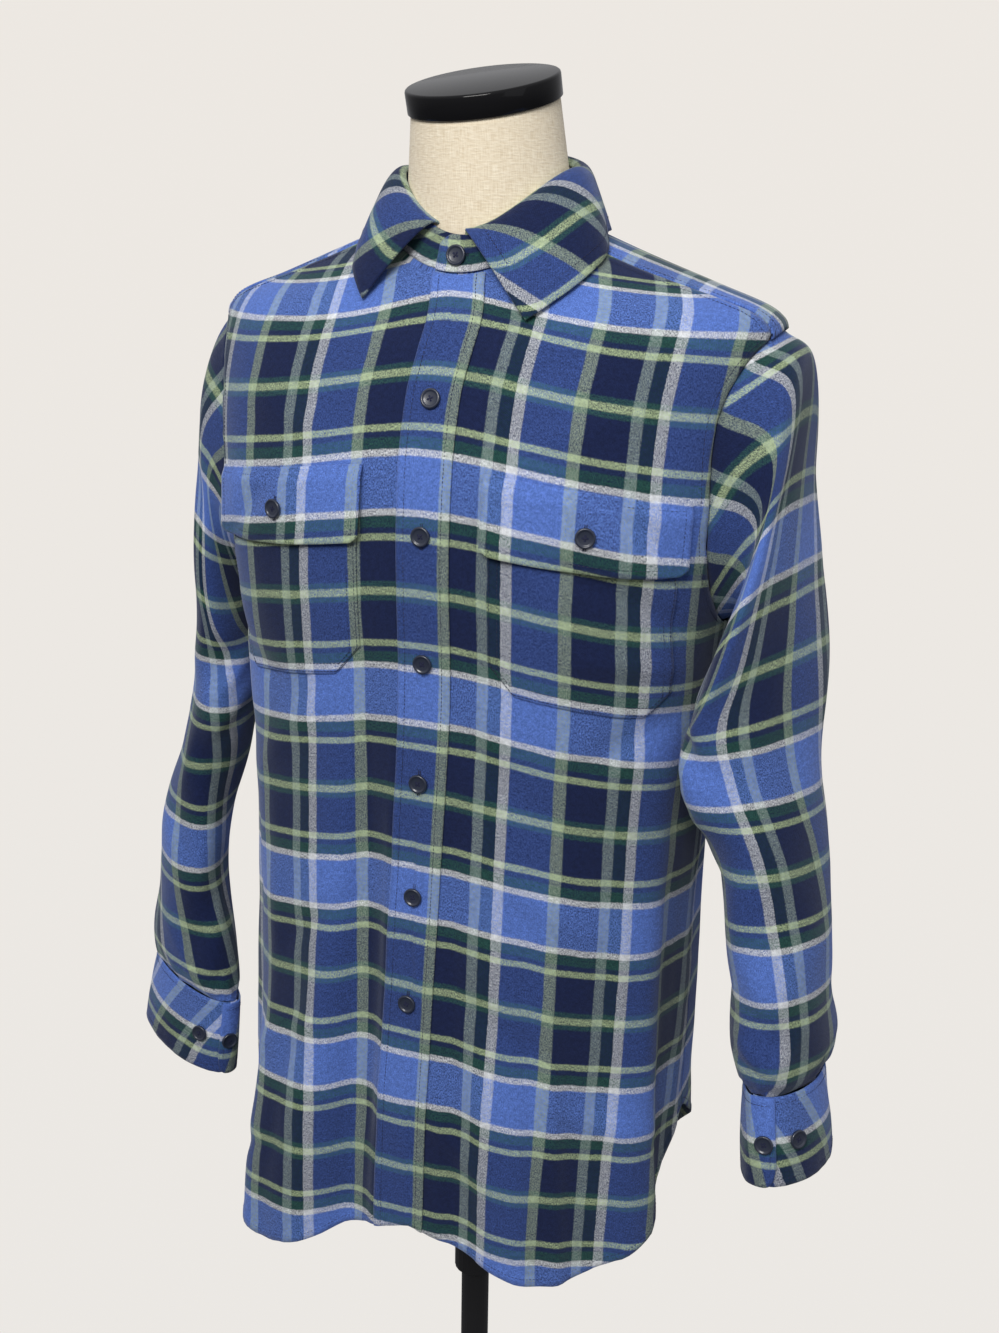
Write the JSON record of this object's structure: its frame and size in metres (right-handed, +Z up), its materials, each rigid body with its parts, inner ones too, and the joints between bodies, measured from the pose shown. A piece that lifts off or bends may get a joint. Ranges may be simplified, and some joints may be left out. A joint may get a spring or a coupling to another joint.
{
  "type": "flannel shirt on a limbless dress form and stand",
  "caption": "Plaid flannel shirt with two flapped chest pockets, buttoned to the collar on a limbless linen dress form with a black telescoping stand.",
  "frame": {"origin": "centre of the round base's underside, on the floor", "axes": "+X to the wearer's left, -Y to the front, +Z up along the pole"},
  "size_m": [0.6166, 0.33, 1.5674],
  "materials": {
    "flannel": "brushed plaid cotton flannel in blue, navy, green and off-white",
    "flannel_trim": "the same flannel, edge-stitched in navy",
    "button": "dark navy, semi-gloss, four holes",
    "linen": "slubby natural linen over a firm form",
    "gloss_black": "glossy black lacquer",
    "black_metal": "satin black powder coat"
  },
  "bodies": {
    "stand": {"stand_base": "black_metal", "stand_lower_tube": "black_metal", "stand_clamp_collar": "black_metal"},
    "dressed_form": {"front_left": "flannel", "front_right": "flannel", "back": "flannel", "yoke": "flannel", "collar_stand": "flannel", "collar": "flannel", "front_placket": "flannel_trim", "sleeve_left": "flannel", "cuff_left": "flannel_trim", "sleeve_placket_left": "flannel_trim", "pocket_left": "flannel", "flap_left": "flannel_trim", "button_pocket_left": "button", "button_cuff_left_1": "button", "button_cuff_left_2": "button", "sleeve_right": "flannel", "cuff_right": "flannel_trim", "sleeve_placket_right": "flannel_trim", "pocket_right": "flannel", "flap_right": "flannel_trim", "button_pocket_right": "button", "button_cuff_right_1": "button", "button_cuff_right_2": "button", "button_front_1": "button", "button_front_2": "button", "button_front_3": "button", "button_front_4": "button", "button_front_5": "button", "button_front_6": "button", "button_front_7": "button", "form_torso": "linen", "form_neck_cap": "gloss_black", "stand_upper_rod": "black_metal"},
    "clamp_knob": {"stand_knob": "black_metal"}
  },
  "joints": [
    {"name": "height_slide", "type": "slide", "parent": "stand", "child": "dressed_form", "axis": [0, 0, 1], "range_m": [-0.15, 0.15]},
    {"name": "knob_turn", "type": "hinge", "parent": "stand", "child": "clamp_knob", "pos_m": [-0.03, 0, 0.613], "axis": [-1, 0, 0], "range_deg": [-180, 180]}
  ]
}
